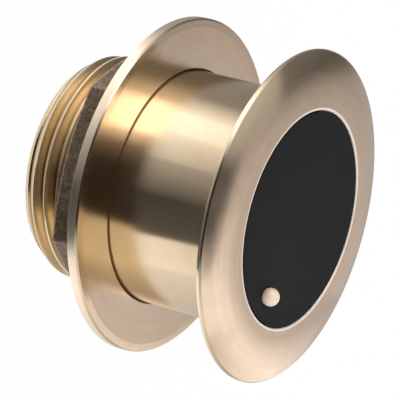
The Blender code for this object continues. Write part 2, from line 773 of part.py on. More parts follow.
def make_board_parts():
    top = UNDER_BOARD_Z
    bottom = GLAND_TOP_Z + CORE_HEADROOM
    core_radius = CORE_SHARE * SPIGOT_RADIUS
    post_radius = CORE_POST_SHARE * SPIGOT_RADIUS
    core_place = on_board(CORE_PLACE, 0.0)
    turned(
        "transformer_core",
        [
            (0.0, top),
            (core_radius, top),
            (core_radius, top - CORE_FLANGE),
            (post_radius, top - CORE_FLANGE),
            (post_radius, bottom + CORE_FLANGE),
            (core_radius, bottom + CORE_FLANGE),
            (core_radius, bottom),
            (0.0, bottom),
        ],
        "ferrite",
        place=core_place,
    )
    coil_inner = post_radius + CLEARANCE
    coil_outer = core_radius - CLEARANCE
    coil_top = top - CORE_FLANGE - CLEARANCE
    coil_bottom = bottom + CORE_FLANGE + CLEARANCE
    turned(
        "transformer_winding",
        ring_section(coil_inner, coil_outer, coil_bottom, coil_top),
        "enamelled_copper",
        closed=True,
        place=core_place,
    )
    width, depth = (share * SPIGOT_RADIUS for share in CAPACITOR_SHARES)
    capacitor = box(
        "tuning_capacitor",
        (-width / 2, -depth / 2, GLAND_TOP_Z + CAPACITOR_HEADROOM),
        (width / 2, depth / 2, top),
        "capacitor_red",
        place=on_board(CAPACITOR_PLACE, 0.0),
    )
    bevel(capacitor, CAPACITOR_ROUND)
    radius = RESISTOR_SHARE * SPIGOT_RADIUS
    half_length = RESISTOR_LENGTH_SHARE * SPIGOT_RADIUS / 2
    resistor = cylinder("bleed_resistor", radius, -half_length, half_length, "resistor_tan")
    resistor.location = on_board(RESISTOR_PLACE, top - radius)
    resistor.rotation_euler = (0.0, math.pi / 2, 0.0)
    for number in range(1, PIN_COUNT + 1):
        along = (number - (PIN_COUNT + 1) / 2) * PIN_SPACING_SHARE
        centre = on_board((along, PIN_ROW_SHARE), 0.0)[:2]
        pin_end = GLAND_TOP_Z + PIN_HEADROOM
        cylinder(f"terminal_pin_{number}", PIN_RADIUS, pin_end, top, "tinned_copper", centre=centre)


def make_bulkhead():
    radius = STEM_BORE_RADIUS - CLEARANCE
    seal_radius = radius - SEAL_SECTION_RADIUS
    groove_radius = seal_radius - SEAL_SECTION_RADIUS - CLEARANCE
    middle = BULKHEAD_HEIGHT + BULKHEAD_THICKNESS / 2
    half_groove = SEAL_SECTION_RADIUS + CLEARANCE
    hole_radius = GLAND_SHANK_RADIUS + CLEARANCE
    turned(
        "rear_bulkhead",
        [
            (radius, BULKHEAD_TOP_Z),
            (radius, middle + half_groove),
            (groove_radius, middle + half_groove),
            (groove_radius, middle - half_groove),
            (radius, middle - half_groove),
            (radius, BULKHEAD_HEIGHT),
            (hole_radius, BULKHEAD_HEIGHT),
            (hole_radius, BULKHEAD_TOP_Z),
        ],
        "black_polymer",
        closed=True,
    )
    section = []
    for i in range(RING_SECTION_SIDES):
        angle = -math.tau * i / RING_SECTION_SIDES
        section.append(
            (
                seal_radius + SEAL_SECTION_RADIUS * math.cos(angle),
                middle + SEAL_SECTION_RADIUS * math.sin(angle),
            )
        )
    turned("bulkhead_seal", section, "black_rubber", closed=True)

    clip_top = BULKHEAD_HEIGHT - CLEARANCE
    clip_bottom = clip_top - CLIP_THICKNESS
    clip_outer = STEM_BORE_RADIUS + CLIP_GROOVE_DEPTH - CLEARANCE
    clip_inner = clip_outer - CLIP_WIDTH
    clip = turned(
        "bulkhead_clip",
        ring_section(clip_inner, clip_outer, clip_bottom, clip_top),
        "plated_steel",
        closed=True,
    )
    mouth = box(
        "clip_mouth",
        (-CLIP_MOUTH / 2, 0.0, clip_bottom - CUT_MARGIN),
        (CLIP_MOUTH / 2, clip_outer + CUT_MARGIN, clip_top + CUT_MARGIN),
        None,
        collection=CUTTERS,
    )
    cut(clip, as_cutter(mouth))


def make_gland():
    flange_bottom = BULKHEAD_TOP_Z + CLEARANCE
    flange_top = GLAND_TOP_Z
    nut_top = BULKHEAD_HEIGHT - CLEARANCE
    nut_bottom = nut_top - GLAND_NUT_HEIGHT
    shank_bottom = nut_bottom + GLAND_NUT_LIP + CLEARANCE
    lip_bottom = flange_top - GLAND_INNER_LIP
    turned(
        "gland_body",
        [
            (GLAND_FLANGE_RADIUS, flange_top),
            (GLAND_FLANGE_RADIUS, flange_bottom),
            (GLAND_SHANK_RADIUS, flange_bottom),
            (GLAND_SHANK_RADIUS, shank_bottom),
            (GLAND_BORE_RADIUS, shank_bottom),
            (GLAND_BORE_RADIUS, lip_bottom),
            (GLAND_INNER_LIP_RADIUS, lip_bottom),
            (GLAND_INNER_LIP_RADIUS, flange_top),
        ],
        "black_polymer",
        closed=True,
    )
    seal_outer = GLAND_BORE_RADIUS - CLEARANCE
    seal_top = lip_bottom - CLEARANCE
    turned(
        "gland_seal",
        [
            (seal_outer, seal_top),
            (seal_outer, shank_bottom),
            (GLAND_CABLE_HOLE_RADIUS, shank_bottom),
            (GLAND_CABLE_HOLE_RADIUS, seal_top),
        ],
        "black_rubber",
        closed=True,
    )
    nut = cylinder(
        "gland_nut",
        GLAND_NUT_ACROSS_FLATS / 2 / math.cos(math.pi / 6),
        nut_bottom,
        nut_top,
        "black_polymer",
        segments=6,
    )
    bore = turned(
        "gland_nut_bore",
        [
            (0.0, nut_top + CUT_MARGIN),
            (GLAND_SHANK_RADIUS + CLEARANCE, nut_top + CUT_MARGIN),
            (GLAND_SHANK_RADIUS + CLEARANCE, nut_bottom + GLAND_NUT_LIP),
            (GLAND_NUT_HOLE_RADIUS, nut_bottom + GLAND_NUT_LIP),
            (GLAND_NUT_HOLE_RADIUS, nut_bottom - CUT_MARGIN),
            (0.0, nut_bottom - CUT_MARGIN),
        ],
        None,
        collection=CUTTERS,
    )
    cut(nut, as_cutter(bore))


clear_scene()
PARTS = new_collection("sonar_transducer")
CUTTERS = new_collection("cutters")
make_housing()
make_hull_nut()
make_window()
make_stud()
REAR_LEAD_Y = make_element()
make_cradle(REAR_LEAD_Y)
make_board()
make_board_parts()
make_bulkhead()
make_gland()
for part in PARTS.objects:
    if part.type == "MESH":
        smooth(part)
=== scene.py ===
import json
import math

import bmesh
import bpy
from mathutils import Matrix, Vector, noise


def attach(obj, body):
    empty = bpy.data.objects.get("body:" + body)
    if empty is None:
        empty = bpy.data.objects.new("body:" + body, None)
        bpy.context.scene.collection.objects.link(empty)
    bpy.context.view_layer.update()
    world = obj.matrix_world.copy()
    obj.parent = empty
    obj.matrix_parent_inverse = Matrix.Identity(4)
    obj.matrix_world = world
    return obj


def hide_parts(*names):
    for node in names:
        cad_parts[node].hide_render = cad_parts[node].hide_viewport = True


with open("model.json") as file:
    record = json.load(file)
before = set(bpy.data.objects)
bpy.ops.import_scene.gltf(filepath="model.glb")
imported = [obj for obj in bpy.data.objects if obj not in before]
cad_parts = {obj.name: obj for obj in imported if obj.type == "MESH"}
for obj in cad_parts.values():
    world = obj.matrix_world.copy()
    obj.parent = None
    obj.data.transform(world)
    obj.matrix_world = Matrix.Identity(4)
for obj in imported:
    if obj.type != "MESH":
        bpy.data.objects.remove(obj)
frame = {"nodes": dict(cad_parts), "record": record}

MM = 0.001

# Camera: where it looks, from which side, and how far it is rolled
CAMERA_AIM = (0.578 * MM, -1.432 * MM, 32.006 * MM)
CAMERA_AZIMUTH = math.radians(-158.0)
CAMERA_ELEVATION = math.radians(29.590)
CAMERA_ROLL = math.radians(105.029)
CAMERA_DISTANCE = 487.522 * MM
CAMERA_LENS = 191.03
CAMERA_SENSOR = 36.0

# Housing
THREAD_RADIUS = 27.0
THREAD_PITCH = 3.4
THREAD_FIRST_Z = -3.58
THREAD_TURNS = 6
THREAD_FADE = 0.12
THREAD_COLUMNS = 240
# Distance from the middle of the groove, and depth of the groove there
THREAD_HALF_PROFILE = (
    (0.0, 2.0),
    (0.20, 1.99),
    (0.34, 1.86),
    (0.64, 1.35),
    (1.00, 0.72),
    (1.36, 0.12),
    (1.46, 0.015),
    (1.60, 0.0),
)
THREAD_PROFILE = (
    *((-across, depth) for across, depth in reversed(THREAD_HALF_PROFILE[1:])),
    *THREAD_HALF_PROFILE,
)
STEM_LENGTH = 22.2
STEM_BORE_RADIUS = 20.5
LEAD_IN_LENGTH = 3.9
LEAD_IN_DEPTH = 2.4
CLIP_GROOVE_LOW = 4.6
CLIP_GROOVE_HIGH = 6.3
CLIP_GROOVE_RADIUS = 21.8
LEDGE_Z = 26.5
BARREL_RADIUS = 27.5
BARREL_CHAMFER = 0.3
BARREL_BORE_RADIUS = 24.3
SEAT_Z = 54.6
RIM_RADIUS = 38.35
RIM_LOW_Z = 55.36
RIM_HIGH_Z = 55.96
UNDERCUT_RADIUS = 36.8
FACE_EDGE_RADIUS = 38.0
FACE_EDGE_Z = 56.31
FACE_INNER_RADIUS = 25.68
FACE_Z = 58.75
FACE_BULGE = 0.6
POCKET_RADIUS = 25.04
POCKET_Z = 56.0
BEZEL_DROP = 0.06
BEZEL_WIDTH = 0.14
BEZEL_CHAMFER = 0.34
BEZEL_LOW_Z = 57.0

# Hull nut
NUT_FRONT_Z = 25.2
NUT_DISC_REAR_Z = 22.5
NUT_REAR_Z = 13.4
NUT_DISC_RADIUS = 39.5
NUT_APOTHEM = 30.65
NUT_CORNER_ROUND = 1.0
NUT_CORNER_TURN = math.radians(-6.3)
NUT_BORE_RADIUS = 27.3
NUT_BORE_CHAMFER = 0.3
NUT_COUNTERBORE_RADIUS = 27.57
NUT_COUNTERBORE_CHAMFER = 0.42
NUT_COUNTERBORE_DEPTH = 3.3
NUT_GROOVE_BAND = 1.0
NUT_CHAMFER_RADIUS = 30.35
NUT_CHAMFER_SLOPE = math.tan(math.radians(22))
NUT_EDGE_CHAMFER = 0.4
NUT_BEVEL_WIDTH = 2.0
NUT_BEVEL_DROP = 0.13
NUT_DISC_REAR_WIDTH = 1.0
NUT_ROOT_FILLET = 0.9
NUT_WALL_STEPS = 20
NUT_FLAT_STEPS = 84
NUT_CORNER_STEPS = 8
CAST_ROUGHNESS = 0.07
CAST_LUMP_SIZE = 1.1
CAST_FINE_SHARE = 0.42
CAST_FINE_SHIFT = (7.0, 3.0, 5.0)
CAST_EDGE_START = 0.25
CAST_EDGE_BACK = 0.06
CAST_EDGE_RISE = 0.08
CAST_EDGE_END = 0.28
CAST_EDGE_LIFT = 0.01

# Acoustic window and temperature stud
WINDOW_RADIUS = 24.74
WINDOW_EDGE = 0.2
WINDOW_FLANGE_REAR_Z = 56.3
WINDOW_PLUG_RADIUS = 24.0
WINDOW_SLANT = math.tan(math.radians(12))
WINDOW_DEPTH = 8.75
WINDOW_DEPTH_Y = 1.6
STUD_Y = -19.6
STUD_RADIUS = 2.06
STUD_SHANK_RADIUS = 1.6
STUD_FOOT_Z = 58.5
STUD_MIDDLE_Z = 59.77
STUD_BOTTOM_Z = 55.35
STUD_MOAT_RADIUS = 2.2
STUD_MOAT_DEPTH = 0.22
STUD_MOAT_CHAMFER = 0.05
STUD_MOAT_DRAFT = 0.02
STUD_MOAT_OVERLAP = 0.1
STUD_HEAD_STEPS = 24
STUD_COLUMNS = 72

LATHE_COLUMNS = 240
PICK_MARGIN = 0.1
EDGE_STEPS = 4
WEAR_ANGLE = math.radians(24.0)
MERGE_DISTANCE = 0.002 * MM
THINNEST_ROW = 0.0005 * MM
# Painted shade: the brown that inner corners and creases are darkened towards.
CREASE_SHADE_BROWN = (0.13, 0.08, 0.042)

# Studio
STUDIO_RADIUS = 1.2
CLOTH_HEIGHT = 0.0005
FLOOR_GAP = 0.05 * MM
NEUTRAL = (1.0, 1.0, 1.0)
REAR_TINT = (1.0, 0.96, 1.02)
LEFT_TINT = (1.0, 1.02, 0.92)
FLOOR_SHADOW_SHARE = 0.025
FLOOR_HALF_WIDTH = 3.0


def rounded(corners):
    """A path of (radius, height) points from corners given as (radius, height, round)."""
    path = []
    for i, (radius, height, size) in enumerate(corners):
        here = Vector((radius, height))
        if not size or i in (0, len(corners) - 1):
            path.append(tuple(here))
            continue
        before = (Vector(corners[i - 1][:2]) - here).normalized()
        after = (Vector(corners[i + 1][:2]) - here).normalized()
        opening = before.angle(after)
        back = size / math.tan(opening / 2)
        start = here + before * back
        end = here + after * back
        centre = here + (before + after).normalized() * (size / math.sin(opening / 2))
        first = start - centre
        last = end - centre
        turn = first.angle_signed(last)
        for step in range(EDGE_STEPS + 1):
            angle = -turn * step / EDGE_STEPS
            cos, sin = math.cos(angle), math.sin(angle)
            turned = Vector((first.x * cos - first.y * sin, first.x * sin + first.y * cos))
            path.append(tuple(centre + turned))
    return path


def bulged(start, end, bulge, steps=10):
    """Corners between start and end on a shallow arc, on its outer side."""
    start, end = Vector(start), Vector(end)
    chord = end - start
    side = Vector((-chord.y, chord.x)).normalized()
    corners = []
    for step in range(1, steps):
        share = step / steps
        offset = side * (4 * bulge * share * (1 - share))
        corners.append((*(start + chord * share + offset), 0.0))
    return corners


def grid_mesh(shape, columns, closed):
    """Faces over columns of points, the last column joined to the first. Returns them row by row.

    A closed grid joins the last row to the first too.
    """
    made = [[shape.verts.new(Vector(point) * MM) for point in column] for column in columns]
    rows = len(columns[0])
    strips = []
    for row in range(rows if closed else rows - 1):
        below = (row + 1) % rows
        strip = []
        for i, column in enumerate(made):
            other = made[(i + 1) % len(made)]
            strip.append(shape.faces.new((column[row], column[below], other[below], other[row])))
        strips.append(strip)
    return strips


def around(path, columns=LATHE_COLUMNS, centre=(0.0, 0.0)):
    """Columns of points that turn a (radius, height) path round the upright axis."""
    turned = []
    x, y = centre
    for i in range(columns):
        angle = math.tau * i / columns
        cos, sin = math.cos(angle), math.sin(angle)
        turned.append([(x + radius * cos, y + radius * sin, height) for radius, height in path])
    return turned


def mark_edges(shape):
    """Point values from 0 to 1 that materials read: on outer edges, wear and a painted highlight; in inner
    corners, painted shade.
    """
    wear_and_highlight = shape.verts.layers.float.new("wear_and_highlight")
    crease_shade = shape.verts.layers.float.new("crease_shade")
    for vertex in shape.verts:
        bends = [edge.calc_face_angle_signed(0.0) for edge in vertex.link_edges if edge.is_manifold]
        # Outer edges: share of edge wear and of a painted highlight.
        vertex[wear_and_highlight] = min(max([0.0, *bends]) / WEAR_ANGLE, 1.0)
        # Inner corners and creases: share of painted shade.
        vertex[crease_shade] = min(max([0.0, *(-bend for bend in bends)]) / WEAR_ANGLE, 1.0)


def finish_piece(name, shape, materials, sharp=32.0):
    """An object from the shape: merged, with outward faces, smooth between its sharp edges."""
    bmesh.ops.remove_doubles(shape, verts=shape.verts, dist=MERGE_DISTANCE)
    bmesh.ops.dissolve_degenerate(shape, edges=shape.edges, dist=MERGE_DISTANCE)
    bmesh.ops.recalc_face_normals(shape, faces=shape.faces)
    mark_edges(shape)
    for face in shape.faces:
        face.smooth = True
    mesh = bpy.data.meshes.new(name)
    shape.to_mesh(mesh)
    shape.free()
    mesh.set_sharp_from_angle(angle=math.radians(sharp))
    for material in materials:
        mesh.materials.append(material)
    made = bpy.data.objects.new(name, mesh)
    bpy.context.scene.collection.objects.link(made)
    weighted = made.modifiers.new("even normals", "WEIGHTED_NORMAL")
    weighted.keep_sharp = True
    return made


def groove_depth(across):
    """Depth of the thread's groove at a distance from its middle."""
    for (low, low_depth), (high, high_depth) in zip(THREAD_PROFILE, THREAD_PROFILE[1:]):
        if low <= across <= high:
            share = (across - low) / (high - low)
            return low_depth + (high_depth - low_depth) * share
    return 0.0


def thread_radius(angle, height):
    """Radius of the stem at an angle and a height: lead-in cone, crest, flank or root of the thread."""
    turns = (height - THREAD_FIRST_Z) / THREAD_PITCH - angle / math.tau
    turn = min(round(turns), THREAD_TURNS)
    travelled = turn + angle / math.tau
    depth = groove_depth((turns - turn) * THREAD_PITCH)
    fade = min(max((THREAD_TURNS - travelled) / THREAD_FADE, 0.0), 1.0)
    cone = THREAD_RADIUS - LEAD_IN_DEPTH * (1.0 - height / LEAD_IN_LENGTH)
    return min(THREAD_RADIUS - depth * math.sqrt(fade), cone)


def add_thread(shape):
    """The stem's outer side, in rows that follow the helix, cut off level at both ends."""
    offsets = [across for across, _ in THREAD_PROFILE]
    per_turn = len(offsets)
    turns = THREAD_TURNS + 3
    grid = []
    for i in range(THREAD_COLUMNS + 1):
        angle = math.tau * i / THREAD_COLUMNS
        column = []
        for turn in range(-1, turns):
            for across in offsets:
                height = THREAD_FIRST_Z + THREAD_PITCH * (turn + angle / math.tau) + across
                height = min(max(height, 0.0), STEM_LENGTH)
                radius = thread_radius(angle % math.tau, height)
                column.append((radius * math.cos(angle), radius * math.sin(angle), height))
        grid.append([shape.verts.new(Vector(point) * MM) for point in column])
    for left, right in zip(grid, grid[1:]):
        for row in range(per_turn * (turns + 1) - 1):
            corners = (left[row], left[row + 1], right[row + 1], right[row])
            heights = [corner.co.z for corner in corners]
            if max(heights) - min(heights) > THINNEST_ROW:
                shape.faces.new(corners)


def give_material(shape, index, radii, heights):
    """Sets the material of the faces whose middle lies between two radii and two heights."""
    for face in shape.faces:
        middle = face.calc_center_median() / MM
        if radii[0] < middle.xy.length < radii[1] and heights[0] < middle.z < heights[1]:
            face.material_index = index


def make_housing(bronze, bezel, thread):
    """The casting: face flange, window pocket, barrel, threaded stem and the bores."""
    corners = [
        (THREAD_RADIUS, STEM_LENGTH, 0.0),
        (BARREL_RADIUS - BARREL_CHAMFER, STEM_LENGTH, 0.0),
        (BARREL_RADIUS, STEM_LENGTH + BARREL_CHAMFER, 0.1),
        (BARREL_RADIUS, SEAT_Z, 1.5),
        (UNDERCUT_RADIUS, SEAT_Z, 0.15),
        (RIM_RADIUS, RIM_LOW_Z, 0.15),
        (RIM_RADIUS, RIM_HIGH_Z, 0.15),
        (FACE_EDGE_RADIUS, FACE_EDGE_Z, 0.15),
        *bulged((FACE_EDGE_RADIUS, FACE_EDGE_Z), (FACE_INNER_RADIUS, FACE_Z), -FACE_BULGE),
        (FACE_INNER_RADIUS, FACE_Z, 0.1),
        (POCKET_RADIUS + BEZEL_WIDTH, FACE_Z - BEZEL_DROP, 0.08),
        (POCKET_RADIUS, FACE_Z - BEZEL_CHAMFER, 0.05),
        (POCKET_RADIUS, POCKET_Z, 0.0),
        (BARREL_BORE_RADIUS, POCKET_Z, 0.0),
        (BARREL_BORE_RADIUS, LEDGE_Z, 0.0),
        (STEM_BORE_RADIUS, LEDGE_Z, 0.0),
        (STEM_BORE_RADIUS, CLIP_GROOVE_HIGH, 0.0),
        (CLIP_GROOVE_RADIUS, CLIP_GROOVE_HIGH, 0.0),
        (CLIP_GROOVE_RADIUS, CLIP_GROOVE_LOW, 0.0),
        (STEM_BORE_RADIUS, CLIP_GROOVE_LOW, 0.0),
        (STEM_BORE_RADIUS, 0.0, 0.25),
        (THREAD_RADIUS - LEAD_IN_DEPTH, 0.0, 0.0),
    ]
    bezel_index = 1
    thread_index = 2
    shape = bmesh.new()
    grid_mesh(shape, around(rounded(corners)), False)
    # The bezel's lip takes the pale material: a painted highlight.
    bezel_heights = (BEZEL_LOW_Z, FACE_Z + PICK_MARGIN)
    give_material(shape, bezel_index, (POCKET_RADIUS, FACE_INNER_RADIUS), bezel_heights)
    add_thread(shape)
    thread_radii = (THREAD_RADIUS - LEAD_IN_DEPTH, BARREL_RADIUS)
    give_material(shape, thread_index, thread_radii, (0.0, STEM_LENGTH))
    return finish_piece("housing_bronze", shape, [bronze, bezel, thread], sharp=40.0)


def hexagon_outline():
    """Points round the nut's hexagon with rounded corners, as (angle, radius)."""
    outline = []
    inner = (NUT_APOTHEM - NUT_CORNER_ROUND) / math.cos(math.pi / 6)
    arcs = []
    for side in range(6):
        corner_angle = NUT_CORNER_TURN + side * math.pi / 3
        centre = Vector((math.cos(corner_angle), math.sin(corner_angle))) * inner
        arc = []
        for step in range(NUT_CORNER_STEPS + 1):
            angle = corner_angle + math.pi / 3 * (step / NUT_CORNER_STEPS - 0.5)
            arc.append(centre + Vector((math.cos(angle), math.sin(angle))) * NUT_CORNER_ROUND)
        arcs.append(arc)
    for side, arc in enumerate(arcs):
        outline += arc
        start, end = arc[-1], arcs[(side + 1) % 6][0]
        outline += [start.lerp(end, step / NUT_FLAT_STEPS) for step in range(1, NUT_FLAT_STEPS)]
    return [(math.atan2(point.y, point.x), point.length) for point in outline]


def cast_lump(point):
    """How far the rough casting stands out at a point, in millimetres."""
    broad = noise.noise(point / CAST_LUMP_SIZE)
    fine = noise.noise(point / (CAST_LUMP_SIZE * CAST_FINE_SHARE) + Vector(CAST_FINE_SHIFT))
    return CAST_ROUGHNESS * (broad + 0.5 * fine)


def make_hull_nut(turned, cast, rim, groove):
    """Turned disc and bore, with the hexagon left as it was cast."""
    front = NUT_FRONT_Z
    rear = NUT_REAR_Z
    rim_radius = NUT_DISC_RADIUS
    rim_high = front - NUT_BEVEL_DROP - NUT_EDGE_CHAMFER
    disc = rounded(
        [
            (NUT_BORE_RADIUS + NUT_BORE_CHAMFER, rear, 0.0),
            (NUT_BORE_RADIUS, rear + NUT_BORE_CHAMFER, 0.0),
            (NUT_BORE_RADIUS, front - NUT_COUNTERBORE_DEPTH, 0.0),
            (NUT_COUNTERBORE_RADIUS, front - NUT_COUNTERBORE_DEPTH, 0.0),
            (NUT_COUNTERBORE_RADIUS, front - NUT_COUNTERBORE_CHAMFER, 0.05),
            (NUT_COUNTERBORE_RADIUS + NUT_COUNTERBORE_CHAMFER, front, 0.1),
            (rim_radius - NUT_BEVEL_WIDTH, front, 2.0),
            (rim_radius - NUT_EDGE_CHAMFER, front - NUT_BEVEL_DROP, 0.16),
            (rim_radius, rim_high, 0.14),
            (rim_radius, NUT_DISC_REAR_Z, 0.25),
            (rim_radius - NUT_DISC_REAR_WIDTH, NUT_DISC_REAR_Z, 0.0),
        ]
    )
    fillet = NUT_ROOT_FILLET
    wall_top = NUT_DISC_REAR_Z - fillet
    columns = []
    for angle, reach in hexagon_outline():
        chamfer_z = rear + max(reach - NUT_CHAMFER_RADIUS, 0.0) * NUT_CHAMFER_SLOPE
        path = list(disc)
        for step in range(EDGE_STEPS + 1):
            bend = math.pi / 2 * step / EDGE_STEPS
            out = fillet * (1 - math.sin(bend))
            down = fillet * (1 - math.cos(bend))
            path.append((reach + out, NUT_DISC_REAR_Z - down))
        wall_low = chamfer_z + CAST_EDGE_START
        for step in range(1, NUT_WALL_STEPS + 1):
            path.append((reach, wall_top + (wall_low - wall_top) * step / NUT_WALL_STEPS))
        path.append((reach - CAST_EDGE_BACK, chamfer_z + CAST_EDGE_RISE))
        edge_drop = CAST_EDGE_END * NUT_CHAMFER_SLOPE
        path.append((reach - CAST_EDGE_END, chamfer_z - edge_drop + CAST_EDGE_LIFT))
        path.append((NUT_CHAMFER_RADIUS, rear))
        cos, sin = math.cos(angle), math.sin(angle)
        columns.append([(radius * cos, radius * sin, height) for radius, height in path])
    cast_index = 1
    rim_index = 2
    groove_index = 3
    shape = bmesh.new()
    strips = grid_mesh(shape, columns, True)
    rim_radii = (rim_radius - 2 * PICK_MARGIN, rim_radius + PICK_MARGIN)
    give_material(shape, rim_index, rim_radii, (NUT_DISC_REAR_Z, rim_high))
    # The band at the counterbore's edge takes the dark groove material: painted shade in the gap to the
    # barrel.
    counterbore = NUT_COUNTERBORE_RADIUS
    groove_radii = (counterbore - PICK_MARGIN, counterbore + NUT_COUNTERBORE_CHAMFER)
    give_material(shape, groove_index, groove_radii, (front - NUT_GROOVE_BAND, front - 0.01))
    for strip in strips[len(disc) :]:
        for face in strip:
            face.material_index = cast_index
    cast_faces = [face for strip in strips[len(disc) + 1 : -1] for face in strip]
    cast_points = {vertex for face in cast_faces for vertex in face.verts}
    for vertex in sorted(cast_points, key=lambda vertex: vertex.index):
        point = vertex.co / MM
        outward = Vector((point.x, point.y, 0.0)).normalized()
        vertex.co += outward * (cast_lump(point) - CAST_ROUGHNESS) * MM
    return finish_piece("hull_nut_bronze", shape, [turned, cast, rim, groove], sharp=50.0)


def make_window(urethane):
    """The flush disc and the plug behind it, with the slanted rear face and a moat round the stud."""
    shape = bmesh.new()
    top = rounded(
        [
            (0.0, FACE_Z, 0.0),
            (WINDOW_RADIUS, FACE_Z, WINDOW_EDGE),
            (WINDOW_RADIUS, WINDOW_FLANGE_REAR_Z, 0.0),
            (WINDOW_PLUG_RADIUS, WINDOW_FLANGE_REAR_Z, 0.0),
        ]
    )
    middle_z = FACE_Z - WINDOW_DEPTH + WINDOW_DEPTH_Y * WINDOW_SLANT
    columns = []
    for column in around(top[1:]):
        x, y, _ = column[-1]
        slant_z = middle_z - y * WINDOW_SLANT
        columns.append([*column, (x, y, slant_z)])
    strips = grid_mesh(shape, columns, False)
    shape.faces.new([face.verts[1] for face in strips[-1]])
    moat_floor = FACE_Z - STUD_MOAT_DEPTH
    moat = [
        (STUD_MOAT_RADIUS + STUD_MOAT_CHAMFER, FACE_Z),
        (STUD_MOAT_RADIUS, FACE_Z - STUD_MOAT_CHAMFER),
        (STUD_MOAT_RADIUS - STUD_MOAT_DRAFT, moat_floor),
        (STUD_SHANK_RADIUS - STUD_MOAT_OVERLAP, moat_floor),
    ]
    moat_strips = grid_mesh(shape, around(moat, STUD_COLUMNS, (0.0, STUD_Y)), False)
    shape.faces.new([face.verts[1] for face in moat_strips[-1]])
    border = [edge for edge in shape.edges if edge.is_boundary]
    bmesh.ops.triangle_fill(shape, edges=border, use_beauty=True)
    return finish_piece("window_urethane", shape, [urethane])


def make_stud(bronze):
    """A ball-shaped head on a shank that goes down through the window."""
    path = [(0.0, STUD_MIDDLE_Z + STUD_RADIUS)]
    lowest = math.acos((STUD_FOOT_Z - STUD_MIDDLE_Z) / STUD_RADIUS)
    for step in range(1, STUD_HEAD_STEPS + 1):
        angle = lowest * step / STUD_HEAD_STEPS
        path.append((STUD_RADIUS * math.sin(angle), STUD_MIDDLE_Z + STUD_RADIUS * math.cos(angle)))
    path += [(STUD_SHANK_RADIUS, STUD_BOTTOM_Z), (0.0, STUD_BOTTOM_Z)]
    shape = bmesh.new()
    grid_mesh(shape, around(path, STUD_COLUMNS, (0.0, STUD_Y)), False)
    return finish_piece("stud_painted_reflection", shape, [bronze])


def new_material(name):
    material = bpy.data.materials.new(name)
    material.use_nodes = True
    tree = material.node_tree
    tree.nodes.clear()
    return material, tree


def node(tree, kind, inputs=(), **settings):
    """A node, with the values of its input sockets by their names and its other settings."""
    made = tree.nodes.new(kind)
    for name, value in settings.items():
        setattr(made, name, value)
    for name, value in dict(inputs).items():
        made.inputs[name].default_value = value
    return made


def linear(colour):
    """A colour as it looks on a screen, in the values that the shader takes."""
    return tuple(
        part / 12.92 if part <= 0.04045 else ((part + 0.055) / 1.055) ** 2.4
        for part in colour
    )


def attribute(tree, name):
    """A point value that the mesh carries."""
    return node(tree, "ShaderNodeAttribute", attribute_name=name).outputs["Fac"]


def calculated(tree, operation, first, second):
    """The result of a math node. Each input is a number or a socket."""
    made = node(tree, "ShaderNodeMath", operation=operation)
    for socket, value in zip(made.inputs, (first, second)):
        if isinstance(value, (int, float)):
            socket.default_value = value
        else:
            tree.links.new(value, socket)
    return made.outputs["Value"]


def ranged(tree, value, low, high, start, end):
    """The value carried from the range low to high into the range start to end."""
    limits = {"From Min": low, "From Max": high, "To Min": start, "To Max": end}
    made = node(tree, "ShaderNodeMapRange", limits)
    tree.links.new(value, made.inputs["Value"])
    return made.outputs["Result"]


def mixed(tree, share, first, second):
    """A colour between two colours. Each is a colour in shader values or a socket.

    The node has sockets of the same name for each kind of value, so its colour sockets go by number.
    """
    made = node(tree, "ShaderNodeMix", data_type="RGBA")
    tree.links.new(share, made.inputs[0])
    for socket, value in zip(made.inputs[6:8], (first, second)):
        if isinstance(value, tuple):
            socket.default_value = (*value, 1.0)
        else:
            tree.links.new(value, socket)
    return made.outputs[2]


def bumps(tree, shader, layers):
    """Unevenness from (height socket, depth in millimetres) layers, one on the other."""
    normal = None
    for height, depth in layers:
        bump = node(tree, "ShaderNodeBump", {"Strength": 1.0, "Distance": depth * MM})
        tree.links.new(height, bump.inputs["Height"])
        if normal:
            tree.links.new(normal, bump.inputs["Normal"])
        normal = bump.outputs["Normal"]
    tree.links.new(normal, shader.inputs["Normal"])


def noise_layer(tree, size, detail=2.0, shift=0.0):
    """Noise with lumps of a size in millimetres."""
    place = node(tree, "ShaderNodeTexCoord").outputs["Object"]
    values = {"W": shift, "Scale": 1.0 / (size * MM), "Detail": detail}
    made = node(tree, "ShaderNodeTexNoise", values, noise_dimensions="4D")
    tree.links.new(place, made.inputs["Vector"])
    return made.outputs["Fac"]


def grain_layer(tree, size):
    """Cells of a size in millimetres, each with a grey of its own."""
    place = node(tree, "ShaderNodeTexCoord").outputs["Object"]
    made = node(tree, "ShaderNodeTexVoronoi", {"Scale": 1.0 / (size * MM)})
    tree.links.new(place, made.inputs["Vector"])
    return made


